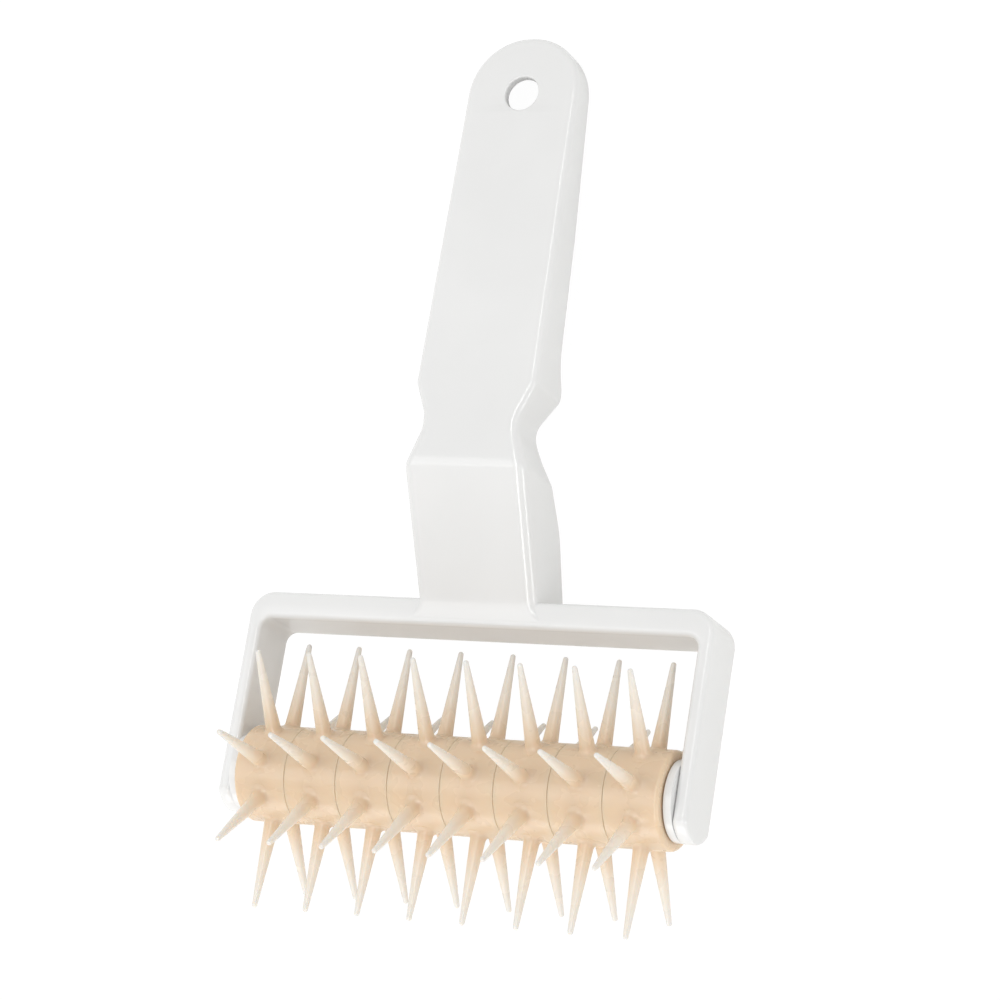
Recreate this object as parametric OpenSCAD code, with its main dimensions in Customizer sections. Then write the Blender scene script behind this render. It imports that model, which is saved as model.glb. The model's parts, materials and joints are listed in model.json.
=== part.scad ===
// Dough docker: a roller of spiked discs that turns in a one-piece handle and yoke.
// It is modelled lying on a table, resting on two rows of spikes and the handle's end.
// X runs along the roller, Y towards the handle's end, and Z is up.

/* [Roller] */
// Number of spiked discs side by side
disc_count = 8; // [2:1:10]
// Width of one disc, which is also the spacing of the spike rings
disc_w = 15; // [12:0.5:20]
// Diameter of the roller's body
body_d = 25.3; // [24:0.1:30]
// Rounding of each disc's rims, which shows as a line between discs
disc_edge = 0.6; // [0.3:0.1:1.2]

/* [Spikes] */
// Spikes round one disc
spikes = 8; // [5:1:9]
// Height of a spike above the body
spike_len = 23.45; // [16:0.05:28]
// Diameter of a spike at its root, above the flare
spike_root_d = 3.9; // [3:0.1:4.6]
// Diameter of a spike at its rounded tip
spike_tip_d = 1.4; // [1:0.1:2]
// How far the flare at the root spreads beyond the spike
spike_flare = 0.8; // [0.3:0.1:1.2]
// How far the roller is turned from an even stand on two rows, in degrees
roller_turn = 1.8; // [0:0.1:8]

/* [Core and axle] */
// Outer diameter of the keyed tube that carries the discs
core_d = 15; // [14:0.1:16]
// Wall of that tube
core_wall = 2.5; // [2:0.1:3]
// Number of keys along the tube
core_keys = 4; // [2:1:4]
// Width of one key
key_w = 3; // [2:0.1:4]
// Height of one key
key_h = 1.4; // [1:0.1:1.8]
// Clearance between the tube and the discs
core_clear = 0.15; // [0.1:0.05:0.3]
// Diameter of the steel axle
axle_d = 5; // [4:0.1:6]
// Running clearance round the axle, on the radius
axle_run = 0.08; // [0.05:0.01:0.1]
// Seating clearance of fixed round fits, on the radius
seat_clear = 0.05; // [0.03:0.01:0.08]
// Chamfer on the axle's ends
axle_chamfer = 0.5; // [0.2:0.1:1]
// Length of a bush inside the tube
bush_len = 9; // [5:0.5:14]
// Thickness of a bush's flange
bush_flange = 1.5; // [1:0.1:2.5]

/* [Yoke] */
// Play between the roller and the boss at each end
end_play = 0.35; // [0.3:0.05:0.8]
// Height of the round boss inside each arm
boss_h = 2.15; // [1.5:0.05:4]
// Thickness of an arm
arm_t = 3.9; // [3.2:0.1:6]
// Radius of an arm's round end and of its boss
arm_end_r = 10.6; // [9.4:0.1:11.5]
// How much smaller in radius the boss is than the arm's end
boss_step = 0.15; // [0.1:0.05:0.5]
// Plastic left outside the blind axle socket
socket_skin = 1.4; // [1:0.1:2]
// Depth of the arms and the crossbar from front to back
yoke_depth = 16.4; // [14:0.1:18]
// Thickness of the crossbar
bar_t = 7.2; // [5:0.1:10]
// Space between the spikes' tips and the crossbar
bar_gap = 4.2; // [3:0.1:8]
// Radius of the outer corners
corner_out_r = 6.5; // [4:0.1:9]
// Radius of the inner corners
corner_in_r = 3; // [1:0.1:6]
// Rounding of the yoke's long edges
yoke_edge_r = 1.4; // [0.8:0.1:1.7]

/* [Handle] */
// Length of the sloping shank, from the crossbar to the bend
shank_len = 30; // [24:0.5:45]
// Length of the notched neck, from the bend to the grip
neck_len = 21.6; // [18:0.1:30]
// Length of the flat grip
grip_len = 95.9; // [80:0.1:130]
// Width of the shank where it meets the crossbar
shank_w = 33.9; // [28:0.1:40]
// Width at the bend and at the grip's lower corners
waist_w = 34.3; // [30:0.1:40]
// Width between the finger notches
neck_w = 27.6; // [24:0.1:30]
// Width of the grip near its round end
end_w = 31.6; // [26:0.1:34]
// Height of the grip's face above the axle, at the bend
bend_rise = 29.4; // [24:0.1:34]
// Height of the grip's face above the axle, at its end
end_rise = 30.9; // [26:0.1:34]
// Thickness of the grip at its end
end_t = 7; // [6:0.1:9]
// Thickness of the grip above its lower corners
grip_t = 13; // [11:0.1:15]
// Thickness of the swelling at the grip's lower corners
swell_t = 16.8; // [15:0.1:18]
// Thickness of the neck
neck_t = 13; // [12:0.1:14.5]
// How far the shank's edges spread where they run into the crossbar
shank_flare = 5; // [3:0.1:8]
// Thickness of the grip's wall, and of the web that the hanging hole goes through
grip_wall = 2.7; // [2.2:0.1:3.4]
// Distance from the start of the grip to the hollow in its back
hollow_start = 10; // [8:1:30]
// Rounding of the grip's edges
grip_edge_r = 1.8; // [1:0.1:2.4]
// Rounding of the shank's edges
shank_edge_r = 3; // [2:0.1:3.4]

/* [Hanging hole] */
// Diameter of the hole
hole_d = 9.4; // [6:0.1:12]
// Distance from the hole's centre to the handle's end
hole_inset = 15.9; // [12:0.1:24]

/* [Hidden] */

edge_steps = 4;
arc_steps = 6;
end_steps = 14;
white_plastic = [0.93, 0.93, 0.92];
beige_plastic = [0.92, 0.81, 0.67];
steel = [0.72, 0.73, 0.74];

body_r = body_d / 2;
roller_half = disc_count * disc_w / 2;
spike_reach = body_r + spike_len;
tip_r = spike_tip_d / 2;
root_r = spike_root_d / 2;
row_angle = 360 / spikes;

core_r = core_d / 2;
core_bore_r = core_r - core_wall;
axle_r = axle_d / 2;
key_sink = 0.5;

arm_in = roller_half + end_play + boss_h;
arm_out = arm_in + arm_t;
socket_end = arm_out - socket_skin;
bar_low = spike_reach + bar_gap;
bar_top = bar_low + bar_t;
arm_trim = arm_end_r + 2;

bend_y = bar_top + shank_len;
grip_y = bend_y + neck_len;
end_y = grip_y + grip_len;
neck_y = bend_y + neck_len * 0.53;
hole_y = end_y - hole_inset;
root_y = bar_top - bar_t / 2;
bar_face = yoke_depth / 2;

// How the tool lies: the lowest row of spikes and the handle's end both touch the table.
low_row = row_angle / 2 - roller_turn;
axle_height = (spike_reach - tip_r) * cos(low_row) + tip_r;
heel_y = end_y - grip_edge_r;
heel_z = end_rise - end_t + grip_edge_r;
lie_angle = asin((axle_height - grip_edge_r) / norm([heel_y, heel_z])) + atan(heel_z / heel_y);

// The part's origin is on the table, under the middle of its outline.
row_from_down = [for (i = [0:spikes - 1]) low_row + i * row_angle];
back_reach = max([for (a = row_from_down) (spike_reach - tip_r) * sin(a)]) + tip_r;
crest_z = end_rise - grip_edge_r;
front_reach = heel_y * cos(lie_angle) + crest_z * sin(lie_angle) + grip_edge_r;
axle_y = (back_reach - front_reach) / 2;

// Direction from a to b, one unit long.
function unit(v) = v / norm(v);

// Replaces corner b of the path a, b, c by an arc of radius r.
function arc_corner(a, b, c, r, n) =
    let (u = unit(a - b), v = unit(c - b), half = acos(u * v) / 2)
    let (centre = b + unit(u + v) * r / sin(half))
    let (from = b + u * r / tan(half) - centre, side = sign(u.x * v.y - u.y * v.x))
    let (start = atan2(from.y, from.x), sweep = -side * (180 - 2 * half))
    [for (i = [0:n]) centre + r * [cos(start + sweep * i / n), sin(start + sweep * i / n)]];

// Rounds an open path of [x, y, radius, steps] points, keeping both of its ends.
function rounded_path(p) = [
    [p[0].x, p[0].y],
    for (i = [1:len(p) - 2])
        let (a = [p[i - 1].x, p[i - 1].y], b = [p[i].x, p[i].y], c = [p[i + 1].x, p[i + 1].y])
        each arc_corner(a, b, c, p[i][2], p[i][3]),
    [p[len(p) - 1].x, p[len(p) - 1].y]];

// Splits each stretch of a path into pieces no longer than step.
function split_path(p, step) = [
    for (i = [0:len(p) - 2])
        let (n = max(1, ceil(norm(p[i + 1] - p[i]) / step)))
        for (k = [0:n - 1]) p[i] + (p[i + 1] - p[i]) * k / n,
    p[len(p) - 1]];

// The handle's right half in plan, from the middle of its end down to the crossbar.
notch_x = neck_w / 2 - 0.7;
plan_right = split_path(rounded_path([
    [0, end_y],
    [end_w / 2, end_y, end_w / 2 * 0.985, end_steps],
    [waist_w / 2, grip_y, 3.5, arc_steps],
    [notch_x, neck_y, 10, arc_steps],
    [waist_w / 2, bend_y, 5, arc_steps],
    [shank_w / 2, bar_top - 2.5, 3, arc_steps],
    [shank_w / 2 + shank_flare, root_y]]), 5);
plan = concat(plan_right, [for (i = [len(plan_right) - 1:-1:1]) [-plan_right[i].x, plan_right[i].y]]);

// Height of the handle's face along Y: a flat grip, a bend, and a slope down to the crossbar.
face_line = rounded_path([
    [end_y + 5, end_rise + 0.1],
    [bend_y - 0.3, bend_rise, 6, arc_steps],
    [bar_top - 1, bar_face + 1.2, 14, arc_steps],
    [bar_low + yoke_edge_r, bar_face - 0.1]]);

// Height of the handle's underside along Y, with the swelling that stops the hand.
back_line = rounded_path([
    [end_y + 5, end_rise - end_t + 0.7],
    [grip_y + grip_len * 0.45, end_rise - grip_t + 0.6, 60, arc_steps],
    [grip_y + 10, bend_rise - grip_t, 20, arc_steps],
    [grip_y + 2, bend_rise - swell_t, 4, arc_steps],
    [neck_y + 0.5, bend_rise - neck_t + 1, 7, arc_steps],
    [bend_y + 5, bend_rise - neck_t - 2, 5, arc_steps],
    [bend_y - shank_len * 0.33, bend_rise - 28.4, 22, arc_steps],
    [bar_top + 3, -bar_face + 0.2, 6, arc_steps],
    [bar_low, -bar_face + yoke_edge_r]]);

function face_z(y) = lookup(y, face_line);
function back_z(y) = lookup(y, back_line);
function edge_r(y) = lookup(y, [[bend_y + 2, shank_edge_r], [grip_y, grip_edge_r]]);

// Outward direction of the plan at point i; the two root corners count as part of its sides.
function plan_out(i) =
    let (n = len(plan), root = len(plan_right) - 1)
    let (before = i == root + 1 ? i : i + n - 1, after = i == root ? i : i + 1)
    let (t = unit(plan[after % n] - plan[before % n]))
    [-t.y, t.x];

// One ring of the handle's skin: a is 0 on the flat of a face and 90 at the side.
function skin_ring(a, front) = [
    for (i = [0:len(plan) - 1])
        let (r = edge_r(plan[i].y), p = plan[i] - plan_out(i) * r * (1 - sin(a)))
        let (drop = r * (1 - cos(a)))
        [p.x, p.y, front ? face_z(p.y) - drop : back_z(p.y) + drop]];

// The two triangles of a quad.
function halves(a, b, c, d) = [[a, b, c], [a, c, d]];

// Triangles that join each ring of n points to the next, facing outwards.
function ring_walls(rings, n) = [
    for (k = [0:rings - 2], i = [0:n - 1])
        each halves(k * n + i, k * n + (i + 1) % n, (k + 1) * n + (i + 1) % n, (k + 1) * n + i)];

function skin_angles() = [for (k = [0:edge_steps]) 90 * k / edge_steps];

// The handle as a skin over its plan, with rounded edges and bent faces.
module handle_skin() {
    n = len(plan);
    half = len(plan_right) - 1;
    rings = 2 * (edge_steps + 1);
    last = (rings - 1) * n;
    points = concat(
        [for (a = skin_angles()) each skin_ring(a, false)],
        [for (k = [edge_steps:-1:0]) each skin_ring(skin_angles()[k], true)]);
    front_cap = [
        [last, last + 1, last + n - 1],
        for (i = [1:half - 1]) each halves(last + i, last + i + 1, last + n - i - 1, last + n - i)];
    back_cap = [
        [0, n - 1, 1],
        for (i = [1:half - 1]) each halves(i, n - i, n - i - 1, i + 1)];
    polyhedron(points, concat(ring_walls(rings, n), front_cap, back_cap), convexity = 6);
}

// The hollow in the grip's back, one wall inside the plan and the face.
module grip_hollow() {
    start_y = grip_y + hollow_start;
    inner = [
        for (i = [0:len(plan) - 1])
            if (plan[i].y > grip_y) plan[i] - plan_out(i) * grip_wall];
    intersection() {
        translate([0, 0, -end_rise])
            linear_extrude(3 * end_rise)
                polygon(inner);
        rotate([90, 0, 90])
            linear_extrude(2 * waist_w, center = true)
                polygon([
                    [start_y, -end_rise],
                    [end_y, -end_rise],
                    [end_y, face_z(end_y) - grip_wall],
                    [start_y, face_z(start_y) - grip_wall]]);
    }
}

// The yoke's U in plan, drawn in by d all round except at the arms' cut ends.
function yoke_plan(d) =
    let (out_x = arm_out - d, in_x = arm_in + d, top = bar_top - d, low = bar_low + d)
    let (r_out = corner_out_r - d, r_in = corner_in_r + d, n = arc_steps)
    let (right = rounded_path([
        [0, top],
        [out_x, top, r_out, n],
        [out_x, -arm_trim]]))
    let (inside = rounded_path([
        [in_x, -arm_trim],
        [in_x, low, r_in, n],
        [0, low]]))
    let (half = concat([for (i = [1:len(right) - 1]) right[i]], [for (i = [0:len(inside) - 2]) inside[i]]))
    concat(half, [for (i = [len(half) - 1:-1:0]) [-half[i].x, half[i].y]]);

// The yoke's U with rounded long edges.
module yoke_skin() {
    n = len(yoke_plan(0));
    rings = 2 * (edge_steps + 1);
    levels = concat(
        [for (a = skin_angles()) [a, -1]],
        [for (k = [edge_steps:-1:0]) [skin_angles()[k], 1]]);
    points = [
        for (v = levels, p = yoke_plan(yoke_edge_r * (1 - sin(v[0]))))
            [p.x, p.y, v[1] * (bar_face - yoke_edge_r * (1 - cos(v[0])))]];
    h = n / 2;
    last = (rings - 1) * n;
    cap = concat(
        halves(n - 1, 0, h - 1, h),
        [for (j = [0:h / 2 - 2]) each halves(j, j + 1, h - 2 - j, h - 1 - j)],
        [for (j = [0:h / 2 - 2]) each halves(h + j, h + j + 1, n - 2 - j, n - 1 - j)]);
    front_cap = [for (f = cap) [last + f[0], last + f[1], last + f[2]]];
    back_cap = [for (f = cap) [f[0], f[2], f[1]]];
    polyhedron(points, concat(ring_walls(rings, n), front_cap, back_cap), convexity = 8);
}

// Side view of the yoke, which gives both arms their round ends.
module yoke_side() {
    rotate([90, 0, 90])
        linear_extrude(2 * arm_out + 2, center = true) {
            circle(r = arm_end_r, $fn = 96);
            translate([0, -yoke_depth])
                square([bar_top + 1, 2 * yoke_depth]);
        }
}

// A cylinder along X from x0 to x1.
module x_rod(r, x0, x1) {
    translate([x0, 0, 0])
        rotate([0, 90, 0])
            cylinder(r = r, h = x1 - x0, $fn = 96);
}

// Puts a piece from the tool's own axes, about the axle, into its place on the table.
module lay() {
    translate([0, axle_y, axle_height])
        rotate([-lie_angle, 0, 0])
            children();
}

module handle_yoke() {
    color(white_plastic)
        lay()
            difference() {
                union() {
                    handle_skin();
                    intersection() {
                        yoke_skin();
                        yoke_side();
                    }
                    for (side = [0, 1])
                        mirror([side, 0, 0])
                            x_rod(arm_end_r - boss_step, arm_in - boss_h, arm_in);
                }
                for (side = [0, 1])
                    mirror([side, 0, 0])
                        x_rod(axle_r + seat_clear, arm_in - boss_h - 1, socket_end);
                grip_hollow();
                translate([0, hole_y, 0])
                    cylinder(d = hole_d, h = end_rise + 5, $fn = 64);
            }
}

module axle_rod() {
    half = socket_end - 0.2;
    color(steel)
        lay()
            rotate([0, 90, 0])
                rotate_extrude($fn = 64)
                    polygon([
                        [0, -half],
                        [axle_r - axle_chamfer, -half],
                        [axle_r, -half + axle_chamfer],
                        [axle_r, half - axle_chamfer],
                        [axle_r - axle_chamfer, half],
                        [0, half]]);
}

// The key bars round the core, wide and high enough for the given clearance.
module keys(clear, half) {
    for (i = [0:core_keys - 1])
        rotate([i * 360 / core_keys, 0, 0])
            translate([-half, -key_w / 2 - clear, core_r - key_sink])
                cube([2 * half, key_w + 2 * clear, key_sink + key_h + clear]);
}

module core_tube() {
    half = roller_half - bush_flange;
    color(white_plastic)
        lay()
            rotate([roller_phase(), 0, 0])
                difference() {
                    union() {
                        x_rod(core_r, -half, half);
                        keys(0, half);
                    }
                    x_rod(core_bore_r, -half - 1, half + 1);
                }
}

// A flanged bush at the tube's end, drawn for the right side.
module bush() {
    flange_in = roller_half - bush_flange;
    color(white_plastic)
        difference() {
            union() {
                x_rod(core_bore_r - seat_clear, flange_in - bush_len, flange_in);
                x_rod(core_r, flange_in, roller_half);
            }
            x_rod(axle_r + axle_run, flange_in - bush_len - 1, roller_half + 1);
        }
}

module bush_left() {
    lay()
        mirror([1, 0, 0])
            bush();
}

module bush_right() {
    lay()
        bush();
}

// Turn of the roller about the axle that puts its lowest row of spikes under it.
function roller_phase() = lie_angle - 90 - low_row;

// One spike pointing along Y, from inside the body out to its rounded tip.
module spike() {
    flare_top = body_r + 1.6;
    slope = (root_r - tip_r) / (spike_reach - tip_r - flare_top);
    tip_ring = tip_r / norm([1, slope]);
    rotate([-90, 0, 0]) {
        rotate_extrude($fn = 32)
            polygon([
                [0, core_r + key_h + core_clear + 0.6],
                [root_r + spike_flare, core_r + key_h + core_clear + 0.6],
                [root_r + spike_flare, body_r - 0.2],
                [root_r + spike_flare * 0.42, body_r + 0.35],
                [root_r + spike_flare * 0.12, body_r + 0.9],
                [root_r, flare_top],
                [tip_ring, spike_reach - tip_r + tip_ring * slope],
                [0, spike_reach - tip_r + tip_ring * slope]]);
        translate([0, 0, spike_reach - tip_r])
            sphere(r = tip_r, $fn = 32);
    }
}

// One disc of the roller, centred on x = 0, with its keyed bore and its ring of spikes.
module spike_disc() {
    half = disc_w / 2;
    difference() {
        union() {
            rotate([0, 90, 0])
                rotate_extrude($fn = 96)
                    polygon([
                        [0, -half],
                        [body_r - disc_edge, -half],
                        [body_r - disc_edge * 0.3, -half + disc_edge * 0.3],
                        [body_r, -half + disc_edge],
                        [body_r, half - disc_edge],
                        [body_r - disc_edge * 0.3, half - disc_edge * 0.3],
                        [body_r - disc_edge, half],
                        [0, half]]);
            for (i = [0:spikes - 1])
                rotate([i * row_angle, 0, 0])
                    spike();
        }
        x_rod(core_r + core_clear, -half - 1, half + 1);
        keys(core_clear, half + 1);
    }
}

handle_yoke();
axle_rod();
core_tube();
bush_left();
bush_right();
for (i = [1:disc_count])
    color(beige_plastic)
            lay()
                translate([(i - 0.5) * disc_w - roller_half, 0, 0])
                    rotate([roller_phase(), 0, 0])
                        spike_disc();
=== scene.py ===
import json
import math
import bpy
import numpy as np
from mathutils import Euler, Matrix, Vector


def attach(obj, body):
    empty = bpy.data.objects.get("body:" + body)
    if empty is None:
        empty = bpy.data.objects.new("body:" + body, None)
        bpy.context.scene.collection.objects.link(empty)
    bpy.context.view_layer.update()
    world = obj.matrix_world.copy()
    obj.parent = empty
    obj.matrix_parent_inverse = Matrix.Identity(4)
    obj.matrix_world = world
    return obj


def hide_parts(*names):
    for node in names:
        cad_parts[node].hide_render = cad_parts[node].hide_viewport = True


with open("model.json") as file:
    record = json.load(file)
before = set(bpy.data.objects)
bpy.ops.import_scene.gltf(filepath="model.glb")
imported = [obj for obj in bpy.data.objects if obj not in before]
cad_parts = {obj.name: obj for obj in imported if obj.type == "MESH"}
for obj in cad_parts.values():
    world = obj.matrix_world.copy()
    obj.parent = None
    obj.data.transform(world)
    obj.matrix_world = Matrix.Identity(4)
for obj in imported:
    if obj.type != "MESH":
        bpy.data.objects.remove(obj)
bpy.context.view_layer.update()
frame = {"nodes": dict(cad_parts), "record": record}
print("frame loaded")

# Everything below is worked out in millimetres about the roller's axle, with y towards the
# handle's end and z out of its face, and is laid on the table at the end.
axleSpot = np.array(frame["record"]["behaviour"]["joints"][0]["pos_m"]) * 1000
faceUp = frame["record"]["mounts"][0]["axis"]      # the hanging hole runs along the face's normal
lieAngle = math.atan2(faceUp[1], faceUp[2])

yoke = {
    "armIn": 62.5, "armOut": 66.4, "armEnd": 10.6, "depth": 8.2,
    "barLow": 40.3, "barTop": 47.5, "cornerOut": 6.5, "cornerIn": 3.0,
    "edge": 1.4, "bossTall": 2.15, "bossRadius": 10.45, "bossEdge": 0.3,
}
handle = {
    "end": 195.0, "gripLow": 99.1, "neck": 88.95, "bend": 77.5, "root": 43.9,
    "endHalf": 15.8, "waistHalf": 17.15, "neckHalf": 13.1, "shankHalf": 16.95, "flare": 5.0,
    "endRise": 30.9, "bendRise": 29.4, "endThick": 7.0, "gripThick": 13.0, "wall": 2.7,
    "swellThick": 16.8, "neckThick": 13.0, "gripEdge": 1.8, "shankEdge": 3.0, "backEdge": 0.9,
    "holeRadius": 4.7, "holeInset": 15.9, "holeLip": 0.5, "hollowStart": 10.0,
}
disc = {
    "count": 8, "width": 15.0, "bodyRadius": 12.65, "rim": 0.3, "endRim": 1.1, "seam": 0.05, "gap": 0.03,
    "spikes": 8, "reach": 36.1, "rootRadius": 1.95, "tipRadius": 0.7, "flare": 0.9,
    "lowRow": 20.7, "boreRadius": 7.65,
}


def lay(points):
    # Turns points by the lying angle about x and moves the axle to its place: metres, row frame.
    c, s = math.cos(lieAngle), math.sin(lieAngle)
    x, y, z = points[..., 0], points[..., 1], points[..., 2]
    turned = np.stack([x, y * c + z * s, -y * s + z * c], axis=-1)
    return (turned + axleSpot) / 1000


def makePiece(name, parts, sharp=35.0):
    # Joins (points, faces) parts into one mesh object at the origin; faces are index arrays.
    allPoints, allFaces, start = [], [], 0
    for points, faces in parts:
        allPoints.append(points.reshape(-1, 3))
        allFaces += [tuple(start + v for v in f) for block in faces for f in block]
        start += len(allPoints[-1])
    mesh = bpy.data.meshes.new(name)
    mesh.from_pydata(lay(np.concatenate(allPoints)).tolist(), [], allFaces)
    mesh.validate()
    mesh.shade_smooth()
    mesh.set_sharp_from_angle(angle=math.radians(sharp))
    piece = bpy.data.objects.new(name, mesh)
    bpy.context.scene.collection.objects.link(piece)
    return piece


def ringWalls(rings, n, flip=False):
    # Quads between each ring of n points and the next one, closed round the ring.
    k, i = np.meshgrid(np.arange(rings - 1), np.arange(n), indexing="ij")
    j = (i + 1) % n
    quads = np.stack([k * n + i, (k + 1) * n + i, (k + 1) * n + j, k * n + j], axis=-1).reshape(-1, 4)
    return quads[:, ::-1] if flip else quads


def roundedPath(corners):
    # Straight runs joined by arcs: corner (x, y, radius, steps) is replaced by the arc of that
    # radius tangent to both sides, centre = corner + unit(u + v) * radius / sin(half angle).
    path = [np.array([corners[0][:2]], float)]
    for a, b, c in zip(corners[:-2], corners[1:-1], corners[2:]):
        pa, pb, pc = (np.array(p[:2], float) for p in (a, b, c))
        u, v = (pa - pb) / np.linalg.norm(pa - pb), (pc - pb) / np.linalg.norm(pc - pb)
        half = math.acos(float(u @ v)) / 2
        centre = pb + (u + v) / np.linalg.norm(u + v) * b[2] / math.sin(half)
        begin = pb + u * b[2] / math.tan(half) - centre
        sweep = -math.copysign(math.pi - 2 * half, u[0] * v[1] - u[1] * v[0])
        angle = math.atan2(begin[1], begin[0]) + sweep * np.linspace(0, 1, b[3] + 1)
        path.append(centre + b[2] * np.stack([np.cos(angle), np.sin(angle)], axis=1))
    path.append(np.array([corners[-1][:2]], float))
    return np.concatenate(path)


def splitPath(path, step):
    # Resamples each straight stretch so that no piece is longer than step.
    out = []
    for a, b in zip(path[:-1], path[1:]):
        n = max(1, math.ceil(np.linalg.norm(b - a) / step))
        out.append(a + (b - a) * np.linspace(0, 1, n, endpoint=False)[:, None])
    out.append(path[-1:])
    return np.concatenate(out)


def revolve(profile, segments, along="x"):
    # Surface of revolution: (radius, height) profile turned about the axis, poles left to caps.
    angle = np.linspace(0, 2 * math.pi, segments, endpoint=False)
    r, h = profile[:, 0][:, None], np.repeat(profile[:, 1][:, None], segments, axis=1)
    a, b = r * np.cos(angle), r * np.sin(angle)
    if along == "x":
        points = np.stack([h, a, b], axis=-1)
    elif along == "y":
        points = np.stack([b, h, a], axis=-1)
    else:
        points = np.stack([a, b, h], axis=-1)
    n, rings = segments, len(profile)
    ring = np.arange(n)
    faces = [ringWalls(rings, n, flip=True), ring[::-1][None, :], (ring + (rings - 1) * n)[None, :]]
    return points, faces


def handlePlan():
    # The outline seen from the front, clockwise from the middle of the end, and its outward
    # directions: the tangent turned by 90 degrees, one-sided at the two root corners.
    h = handle
    right = splitPath(roundedPath([
        (0, h["end"]),
        (h["endHalf"], h["end"], h["endHalf"] * 0.985, 32),
        (h["waistHalf"], h["gripLow"], 3.5, 12),
        (h["neckHalf"], h["neck"], 10, 16),
        (h["waistHalf"], h["bend"], 5, 12),
        (h["shankHalf"], yoke["barTop"] - 2.5, 3, 12),
        (h["shankHalf"] + h["flare"], h["root"])]), 1.5)
    plan = np.concatenate([right, right[:0:-1] * [-1, 1]])
    after, before = np.roll(plan, -1, axis=0), np.roll(plan, 1, axis=0)
    root = len(right) - 1
    after[root], before[root + 1] = plan[root], plan[root + 1]
    along = (after - before) / np.linalg.norm(after - before, axis=1)[:, None]
    return plan, np.stack([-along[:, 1], along[:, 0]], axis=1), root


def faceLine():
    # Height of the front along y: flat grip, bend, slope, and a shallow run-out on the crossbar.
    h = handle
    return roundedPath([
        (h["end"] + 5, h["endRise"] + 0.1),
        (h["bend"] - 0.3, h["bendRise"], 6, 16),
        (yoke["barTop"] - 1, yoke["depth"] + 1.2, 14, 20),
        (yoke["barLow"] + yoke["edge"], yoke["depth"] - 0.1)])[::-1]


def backLine():
    # Height of the underside along y, with the swelling that stops the hand.
    h = handle
    return roundedPath([
        (h["end"] + 5, h["endRise"] - h["endThick"] + 0.7),
        (h["gripLow"] + (h["end"] - h["gripLow"]) * 0.45, h["endRise"] - h["gripThick"] + 0.6, 60, 20),
        (h["gripLow"] + 10, h["bendRise"] - h["gripThick"], 20, 12),
        (h["gripLow"] + 2, h["bendRise"] - h["swellThick"], 4, 12),
        (h["neck"] + 0.5, h["bendRise"] - h["neckThick"] + 1, 7, 12),
        (h["bend"] + 5, h["bendRise"] - h["neckThick"] - 2, 5, 12),
        (h["bend"] - (h["bend"] - yoke["barTop"]) * 0.33, h["bendRise"] - 28.4, 22, 20),
        (yoke["barTop"] + 3, -yoke["depth"] + 0.2, 6, 12),
        (yoke["barLow"], -yoke["depth"] + yoke["edge"])])[::-1]


def heightAt(line, y):
    return np.interp(y, line[:, 0], line[:, 1])


def handleSkin():
    # The plan is inset by r(1 - sin a) while the height drops by r(1 - cos a) from the face line
    # in front and the back line behind, a running from 0 on the flat to 90 degrees at the side.
    h, steps = handle, 10
    plan, outward, half = handlePlan()
    radius = np.interp(plan[:, 1], [h["bend"] + 2, h["gripLow"]], [h["shankEdge"], h["gripEdge"]])
    angle = np.linspace(0, math.pi / 2, steps + 1)
    levels = []
    for r, line, side in ((h["backEdge"], backLine(), 1), (radius, faceLine(), -1)):
        inset = (1 - np.sin(angle))[:, None] * r
        xy = plan - outward * np.broadcast_to(inset, (steps + 1, len(plan)))[..., None]
        z = heightAt(line, xy[..., 1]) + side * (1 - np.cos(angle))[:, None] * r
        levels.append(np.concatenate([xy, z[..., None]], axis=-1))
    points = np.concatenate([levels[0], levels[1][::-1]])
    n, rings = len(plan), 2 * (steps + 1)
    i = np.arange(1, half)
    cap = np.stack([i, i + 1, n - i - 1, n - i], axis=1)
    tip = np.array([[0, 1, n - 1]])
    last = (rings - 1) * n
    faces = [ringWalls(rings, n), cap, tip, last + cap[:, ::-1], last + tip[:, ::-1]]
    return points, faces


def gripHollow():
    # Cutter for the hollow in the back: the plan inset by one wall from the hollow's start on, from
    # well below the back up to one wall under the face.
    h = handle
    plan, outward, _ = handlePlan()
    start = h["gripLow"] + h["hollowStart"]
    rim = (plan - outward * h["wall"])
    rim = rim[rim[:, 1] > start]
    order = np.argsort(np.arctan2(rim[:, 0], rim[:, 1] - start - 1))
    rim = rim[order]
    rim = np.concatenate([[[rim[0, 0], start]], rim, [[rim[-1, 0], start]]])
    top = heightAt(faceLine(), rim[:, 1]) - h["wall"]
    low = np.zeros(len(rim))
    points = np.stack([np.column_stack([rim, low]), np.column_stack([rim, top])])
    n = len(rim)
    i = np.arange(0, n // 2 - (n % 2 == 0))
    cap = np.stack([i, i + 1, n - 2 - i, n - 1 - i], axis=1)
    cap = [tuple(dict.fromkeys(row)) for row in cap.tolist()]
    return points, [ringWalls(2, n).tolist(), cap, [tuple(n + v for v in row[::-1]) for row in cap]]


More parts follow.
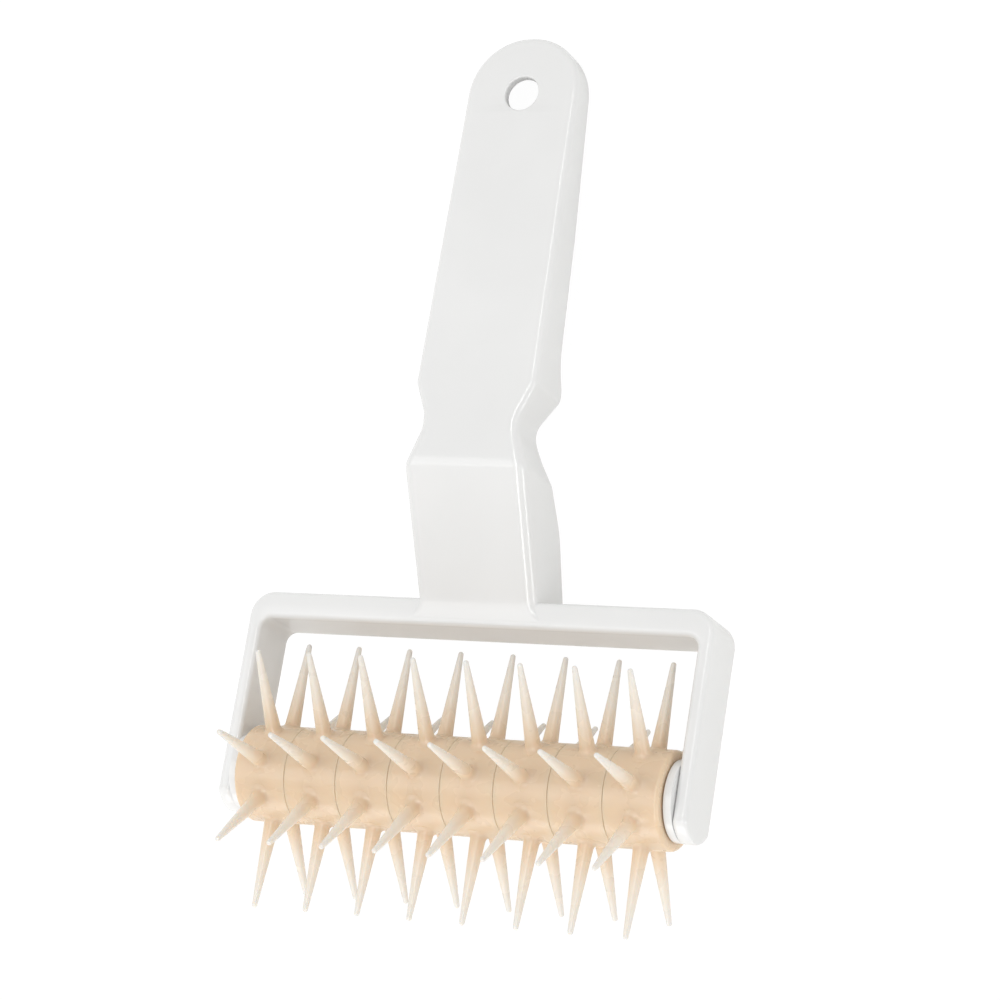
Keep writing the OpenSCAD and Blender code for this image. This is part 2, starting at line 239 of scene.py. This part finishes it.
def yokeSkin():
    # A U in plan with rounded long edges; on each arm below the axle the half depth follows the
    # circle sqrt(R^2 - y^2), which gives the arm its round end.
    w, steps, dense = yoke, 8, 22
    angle = np.linspace(0, math.pi / 2, steps + 1)
    armY = -w["armEnd"] * np.sin(np.linspace(0, math.pi / 2, dense))
    rings = []
    for a in angle:
        d = w["edge"] * (1 - math.sin(a))
        out = roundedPath([(0, w["barTop"] - d), (w["armOut"] - d, w["barTop"] - d, w["cornerOut"] - d, 16),
                           (w["armOut"] - d, 0)])[1:-1]
        inner = roundedPath([(w["armIn"] + d, 0), (w["armIn"] + d, w["barLow"] + d, w["cornerIn"] + d, 16),
                             (0, w["barLow"] + d)])[1:-1]
        down = np.stack([np.full(dense, w["armOut"] - d), armY], axis=1)
        up = np.stack([np.full(dense, w["armIn"] + d), armY], axis=1)[::-1]
        half = np.concatenate([out, down, up, inner])
        rings.append(np.concatenate([half, half[::-1] * [-1, 1]]))
    xy = np.array(rings)
    depth = np.minimum(w["depth"], np.sqrt(np.maximum(w["armEnd"] ** 2 - np.minimum(xy[..., 1], 0) ** 2, 0)))
    z = np.maximum(depth - w["edge"] * (1 - np.cos(angle))[:, None], 0)
    points = np.concatenate([
        np.concatenate([xy, -z[..., None]], axis=-1),
        np.concatenate([xy, z[..., None]], axis=-1)[::-1]])
    n, count = xy.shape[1], 2 * (steps + 1)
    h = n // 2
    j = np.arange(0, h // 2 - 1)
    cap = np.concatenate([
        np.array([[n - 1, 0, h - 1, h]]),
        np.stack([j, j + 1, h - 2 - j, h - 1 - j], axis=1),
        np.stack([h + j, h + j + 1, n - 2 - j, n - 1 - j], axis=1)])
    last = (count - 1) * n
    return points, [ringWalls(count, n), cap, last + cap[:, ::-1]]


def boss(side):
    # A short drum on the arm's inner face, its free rim rounded by a quarter circle.
    w = yoke
    a = np.linspace(0, math.pi / 2, 5)
    start, r, e = w["armIn"] - w["bossTall"], w["bossRadius"], w["bossEdge"]
    rim = np.stack([r - e + e * np.sin(a), start + e - e * np.cos(a)], axis=1)
    profile = np.concatenate([rim, [[r, w["armIn"] + 0.02]]])
    points, faces = revolve(profile, 96)
    if side < 0:
        points = points * [-1, 1, 1]
        faces = [f[:, ::-1] for f in faces]
    return points, faces


def holeCutter():
    # A drum through the grip whose ends flare by a quarter circle, so that the hole gets soft lips.
    h = handle
    y = h["end"] - h["holeInset"]
    top = float(heightAt(faceLine(), y))
    low = top - h["wall"]
    a = np.linspace(0, math.pi / 2, 9)
    lip = h["holeLip"]
    upper = np.stack([h["holeRadius"] + lip - lip * np.sin(a), top - lip + lip * np.cos(a)], axis=1)
    lower = np.stack([h["holeRadius"] + lip - lip * np.cos(a), low + lip - lip * np.sin(a)], axis=1)
    wide = h["holeRadius"] + lip
    profile = np.concatenate([[[wide, top + 4]], upper, lower, [[wide, low - 4]]])[::-1]
    points, faces = revolve(profile, 72, along="z")
    return points + [0, y, 0], faces


def combine(piece, tool, operation):
    # Applies an exact boolean of the tool on the piece, and removes the tool.
    cutter = makePiece("tool", tool)
    cut = piece.modifiers.new("cut", "BOOLEAN")
    cut.operation, cut.object, cut.solver, cut.use_self = operation, cutter, "EXACT", operation == "UNION"
    graph = bpy.context.evaluated_depsgraph_get()
    mesh = bpy.data.meshes.new_from_object(piece.evaluated_get(graph))
    piece.modifiers.clear()
    piece.data = mesh
    bpy.data.objects.remove(cutter)
    mesh.shade_smooth()
    mesh.set_sharp_from_angle(angle=math.radians(35))


def spikeProfile():
    # (radius, distance from the axle): a flare r = root + flare * exp(-4 t) at the foot, a straight
    # taper, and a quarter circle at the tip.
    d = disc
    t = np.linspace(-0.15, 1, 9)
    flareTop = d["bodyRadius"] + 1.8
    foot = np.stack([d["rootRadius"] + d["flare"] * np.exp(-4 * t),
                     d["bodyRadius"] - 0.1 + t * (flareTop - d["bodyRadius"])], axis=1)
    a = np.linspace(0, math.pi / 2 * 0.97, 7)
    tip = np.stack([d["tipRadius"] * np.cos(a), d["reach"] - d["tipRadius"] * (1 - np.sin(a))], axis=1)
    return np.concatenate([[[foot[0, 0], d["bodyRadius"] - 2]], foot, tip])


def discDrum(leftRim, rightRim):
    # A drum with rims rounded by quarter circles and a fine raised seam at its middle, with a bore.
    d = disc
    half, r, segments = d["width"] / 2 - d["gap"] / 2, d["bodyRadius"], 128
    a = np.linspace(0, math.pi / 2, 7)
    rims = [np.stack([r - e + e * np.sin(a), -half + e - e * np.cos(a)], axis=1) for e in (leftRim, rightRim)]
    seam = np.array([[r, -0.45], [r + d["seam"], -0.15], [r + d["seam"], 0.15], [r, 0.45]])
    profile = np.concatenate([[[d["boreRadius"], -half]], rims[0], seam,
                              (rims[1] * [1, -1])[::-1], [[d["boreRadius"], half]]])
    points, faces = revolve(profile, segments)
    inner = np.arange(segments)
    last = segments * (len(profile) - 1)
    bore = np.stack([inner, np.roll(inner, -1), np.roll(inner, -1) + last, inner + last], axis=1)
    return points, [faces[0], bore[:, ::-1]]


def discSpikes():
    # The ring of spikes, turned so that one row stands lowRow degrees from straight down.
    parts = []
    low = lieAngle - math.pi / 2 - math.radians(disc["lowRow"])
    spike, faces = revolve(spikeProfile(), 28, along="y")
    for k in range(disc["spikes"]):
        turn = low + 2 * math.pi * k / disc["spikes"]
        c, s = math.cos(turn), math.sin(turn)
        y, z = spike[..., 1] * c - spike[..., 2] * s, spike[..., 1] * s + spike[..., 2] * c
        parts.append((np.stack([spike[..., 0], y, z], axis=-1), faces))
    return parts


def linear(hexColour):
    # sRGB hex to linear red, green, blue, alpha.
    s = np.array([int(hexColour[i:i + 2], 16) for i in (1, 3, 5)]) / 255
    return tuple(np.where(s <= 0.04045, s / 12.92, ((s + 0.055) / 1.055) ** 2.4)) + (1.0,)


def addNode(tree, kind, settings=None, inputs=None):
    # One node with its settings, and its inputs set to values or linked to sockets.
    node = tree.nodes.new(kind)
    for key, value in (settings or {}).items():
        setattr(node, key, value)
    for key, value in (inputs or {}).items():
        if isinstance(value, bpy.types.NodeSocket):
            tree.links.new(value, node.inputs[key])
        else:
            node.inputs[key].default_value = value
    return node


def newMaterial(name):
    material = bpy.data.materials.new(name)
    material.use_nodes = True
    material.node_tree.nodes.clear()
    return material, material.node_tree


def ramp(tree, factor, stops):
    node = addNode(tree, "ShaderNodeValToRGB", inputs={"Fac": factor})
    while len(node.color_ramp.elements) < len(stops):
        node.color_ramp.elements.new(0.5)
    for element, (place, colour) in zip(node.color_ramp.elements, stops):
        element.position = place
        element.color = colour
    return node.outputs["Color"]


def grey(value):
    return (value, value, value, 1.0)


def mouldedWhite():
    # Glossy injection-moulded polypropylene: nearly white, a soft glow under the skin, and a clear
    # gloss that is slightly wavy from the mould.
    material, tree = newMaterial("moulded white polypropylene")
    where = addNode(tree, "ShaderNodeTexCoord").outputs["Object"]
    flow = addNode(tree, "ShaderNodeTexNoise", inputs={"Vector": where, "Scale": 38.0, "Detail": 2.0})
    colour = ramp(tree, flow.outputs["Fac"], [(0.3, linear("#E6E6E5")), (0.7, linear("#E9E9E8"))])
    rough = ramp(tree, flow.outputs["Fac"], [(0.3, grey(0.13)), (0.7, grey(0.18))])
    wave = addNode(tree, "ShaderNodeBump", inputs={
        "Strength": 0.10, "Distance": 0.0004, "Height": flow.outputs["Fac"]})
    skin = addNode(tree, "ShaderNodeBsdfPrincipled", inputs={
        "Base Color": colour, "Roughness": rough, "IOR": 1.49, "Normal": wave.outputs["Normal"],
        "Subsurface Weight": 0.08, "Subsurface Radius": (1.0, 0.97, 0.94), "Subsurface Scale": 0.0015})
    addNode(tree, "ShaderNodeOutputMaterial", inputs={"Surface": skin.outputs["BSDF"]})
    return material


def mouldedBeige():
    # Natural moulded nylon, cloudy and warm. Its colour is graded with distance from the axle: painted shade at
    # the drum and the spike feet, and painted light through the thin tips of the spikes, which turn paler and
    # greyer.
    material, tree = newMaterial("natural moulded nylon")
    where = addNode(tree, "ShaderNodeTexCoord").outputs["Object"]
    axle = tuple(axleSpot / 1000)
    fromAxle = addNode(tree, "ShaderNodeVectorMath", {"operation": "SUBTRACT"}, {0: where, 1: axle})
    flat = addNode(tree, "ShaderNodeVectorMath", {"operation": "MULTIPLY"},
                   {0: fromAxle.outputs[0], 1: (0.0, 1.0, 1.0)})
    radius = addNode(tree, "ShaderNodeVectorMath", {"operation": "LENGTH"}, {0: flat.outputs[0]})
    up = addNode(tree, "ShaderNodeMapRange", inputs={
        "Value": radius.outputs["Value"], "From Min": disc["bodyRadius"] / 1000, "From Max": disc["reach"] / 1000})
    cloud = addNode(tree, "ShaderNodeTexNoise", inputs={"Vector": where, "Scale": 90.0, "Detail": 3.0})
    # painted shade near the drum and the spike feet, painted light towards the thin spike tips
    shadeToTipLight = ramp(tree, up.outputs["Result"], [
        (0.0, linear("#E1C8AA")), (0.12, linear("#E4D0B6")), (0.45, linear("#E6DCCE")), (1.0, linear("#DEDBD6"))])
    mottled = addNode(tree, "ShaderNodeMix", {"data_type": "RGBA", "blend_type": "MULTIPLY"}, {"Factor": 0.35})
    tree.links.new(shadeToTipLight, mottled.inputs[6])
    tree.links.new(ramp(tree, cloud.outputs["Fac"], [(0.3, grey(0.93)), (0.7, grey(1.0))]), mottled.inputs[7])
    grain = addNode(tree, "ShaderNodeTexNoise", inputs={"Vector": where, "Scale": 160.0, "Detail": 2.0})
    rough = ramp(tree, grain.outputs["Fac"], [(0.3, grey(0.24)), (0.7, grey(0.32))])
    bump = addNode(tree, "ShaderNodeBump", inputs={
        "Strength": 0.06, "Distance": 0.0002, "Height": grain.outputs["Fac"]})
    skin = addNode(tree, "ShaderNodeBsdfPrincipled", inputs={
        "Base Color": mottled.outputs[2], "Roughness": rough, "IOR": 1.53, "Normal": bump.outputs["Normal"],
        "Subsurface Weight": 0.5, "Subsurface Radius": (1.0, 0.78, 0.58), "Subsurface Scale": 0.003})
    addNode(tree, "ShaderNodeOutputMaterial", inputs={"Surface": skin.outputs["BSDF"]})
    return material


def drawnSteel():
    # Drawn steel rod: bright grey metal with fine lines along its length.
    material, tree = newMaterial("drawn steel")
    where = addNode(tree, "ShaderNodeTexCoord").outputs["Object"]
    stretch = addNode(tree, "ShaderNodeMapping", inputs={"Vector": where, "Scale": (20.0, 900.0, 900.0)})
    lines = addNode(tree, "ShaderNodeTexNoise", inputs={"Vector": stretch.outputs["Vector"], "Scale": 1.0})
    rough = ramp(tree, lines.outputs["Fac"], [(0.3, grey(0.25)), (0.7, grey(0.45))])
    skin = addNode(tree, "ShaderNodeBsdfPrincipled", inputs={
        "Base Color": linear("#B9BBBD"), "Metallic": 1.0, "Roughness": rough})
    addNode(tree, "ShaderNodeOutputMaterial", inputs={"Surface": skin.outputs["BSDF"]})
    return material


def dress(piece, material, body):
    piece.data.materials.clear()
    piece.data.materials.append(material)
    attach(piece, body)


white, beige, steel = mouldedWhite(), mouldedBeige(), drawnSteel()

handleYoke = makePiece("handleYoke", [handleSkin()])
combine(handleYoke, [gripHollow()], "DIFFERENCE")
combine(handleYoke, [holeCutter()], "DIFFERENCE")
frameYoke = makePiece("yokeFrame", [yokeSkin(), boss(1), boss(-1)])
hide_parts("handle_yoke")
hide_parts("handle_yoke")
dress(handleYoke, white, "yoke")
dress(frameYoke, white, "yoke")
print("handle and yoke made")

for i in range(disc["count"]):
    rims = [disc["endRim"] if i == edge else disc["rim"] for edge in (0, disc["count"] - 1)]
    ring = makePiece("spikeDisc%d" % (i + 1), [discDrum(*rims)])
    combine(ring, discSpikes(), "UNION")
    shift = (i - (disc["count"] - 1) / 2) * disc["width"] / 1000
    ring.data.transform(Matrix.Translation((shift, 0, 0)))
    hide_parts("spike_disc_%d" % (i + 1))
    dress(ring, beige, "roller")
print("discs made")

for node, material in (("axle_rod", steel), ("core_tube", white), ("bush_left", white), ("bush_right", white)):
    for holder in frame["nodes"][node].material_slots:
        holder.material = material
print("hidden pieces dressed")

view = {
    "spot": (394.848, -11.995, 827.312),     # millimetres, in the part's own frame
    "turn": (1.147, 25.9374, 1.9075),        # degrees
    "focalPixels": 3467.49, "imagePixels": 1000, "sensor": 36.0,
}
camera = bpy.data.objects.new("camera", bpy.data.cameras.new("camera"))
camera.data.sensor_width = view["sensor"]
camera.data.lens = view["focalPixels"] * view["sensor"] / view["imagePixels"]
camera.data.clip_start, camera.data.clip_end = 0.01, 20
camera.location = Vector(view["spot"]) / 1000
camera.rotation_euler = Euler([math.radians(v) for v in view["turn"]], "XYZ")
bpy.context.scene.collection.objects.link(camera)
bpy.context.scene.camera = camera


def paleFloor():
    # A matt white sheet: part of what the camera sees is plain white, so the shadow stays faint.
    material, tree = newMaterial("white paper")
    rays = addNode(tree, "ShaderNodeLightPath")
    seen = addNode(tree, "ShaderNodeMath", {"operation": "MAXIMUM"},
                   {0: rays.outputs["Is Camera Ray"], 1: rays.outputs["Is Transmission Ray"]})
    share = addNode(tree, "ShaderNodeMath", {"operation": "MULTIPLY"}, {0: seen.outputs[0], 1: 0.93})
    paper = addNode(tree, "ShaderNodeBsdfDiffuse", inputs={"Color": linear("#F4F4F3")})
    glow = addNode(tree, "ShaderNodeEmission", inputs={"Color": grey(1.0), "Strength": 1.04})
    mix = addNode(tree, "ShaderNodeMixShader", inputs={
        0: share.outputs[0], 1: paper.outputs["BSDF"], 2: glow.outputs["Emission"]})
    addNode(tree, "ShaderNodeOutputMaterial", inputs={"Surface": mix.outputs["Shader"]})
    return material


size = 1.6
floorMesh = bpy.data.meshes.new("floor")
floorMesh.from_pydata([(-size, -size, 0), (size, -size, 0), (size, size, 0), (-size, size, 0)], [], [(0, 1, 2, 3)])
floor = bpy.data.objects.new("floor", floorMesh)
floor.location.z = -0.0002
floorMesh.materials.append(paleFloor())
bpy.context.scene.collection.objects.link(floor)

world = bpy.data.worlds.new("studio")
bpy.context.scene.world = world
world.use_nodes = True
world.node_tree.nodes.clear()
rays = addNode(world.node_tree, "ShaderNodeLightPath")
dome = addNode(world.node_tree, "ShaderNodeBackground", inputs={"Color": grey(1.0), "Strength": 0.80})
plain = addNode(world.node_tree, "ShaderNodeBackground", inputs={"Color": grey(1.0), "Strength": 1.0})
both = addNode(world.node_tree, "ShaderNodeMixShader", inputs={
    0: rays.outputs["Is Camera Ray"], 1: dome.outputs["Background"], 2: plain.outputs["Background"]})
addNode(world.node_tree, "ShaderNodeOutputWorld", inputs={"Surface": both.outputs["Shader"]})

lamps = {
    "above": {"spot": (-0.50, 0.10, 1.0), "size": (0.7, 0.9), "power": 3.3, "fills": True},
    "low": {"spot": (-0.1, -1.0, 0.25), "size": (0.9, 0.4), "power": 2.9, "fills": True},
    "right": {"spot": (1.0, 0.0, 0.35), "size": (1.1, 0.3), "power": 1.5, "fills": True},
    "edgeStrip": {"spot": (0.26, 0.0, 0.95), "size": (1.9, 0.16), "power": 8.0, "fills": False},
    "shankStrip": {"spot": (1.0, -0.35, 0.25), "size": (0.5, 0.16), "power": 1.9, "fills": False},
}
aim = Vector((0, 0.02, 0.03))
for name, lamp in lamps.items():
    light = bpy.data.lights.new(name, "AREA")
    light.shape = "RECTANGLE"
    light.size, light.size_y, light.energy = *lamp["size"], lamp["power"]
    holder = bpy.data.objects.new(name, light)
    holder.visible_diffuse = lamp["fills"]         # the strips only make the edges gleam
    holder.location = lamp["spot"]
    holder.rotation_euler = (aim - Vector(lamp["spot"])).to_track_quat("-Z", "Y").to_euler()
    bpy.context.scene.collection.objects.link(holder)
print("camera, floor and lamps made")

bpy.context.scene.view_settings.view_transform = "Standard"
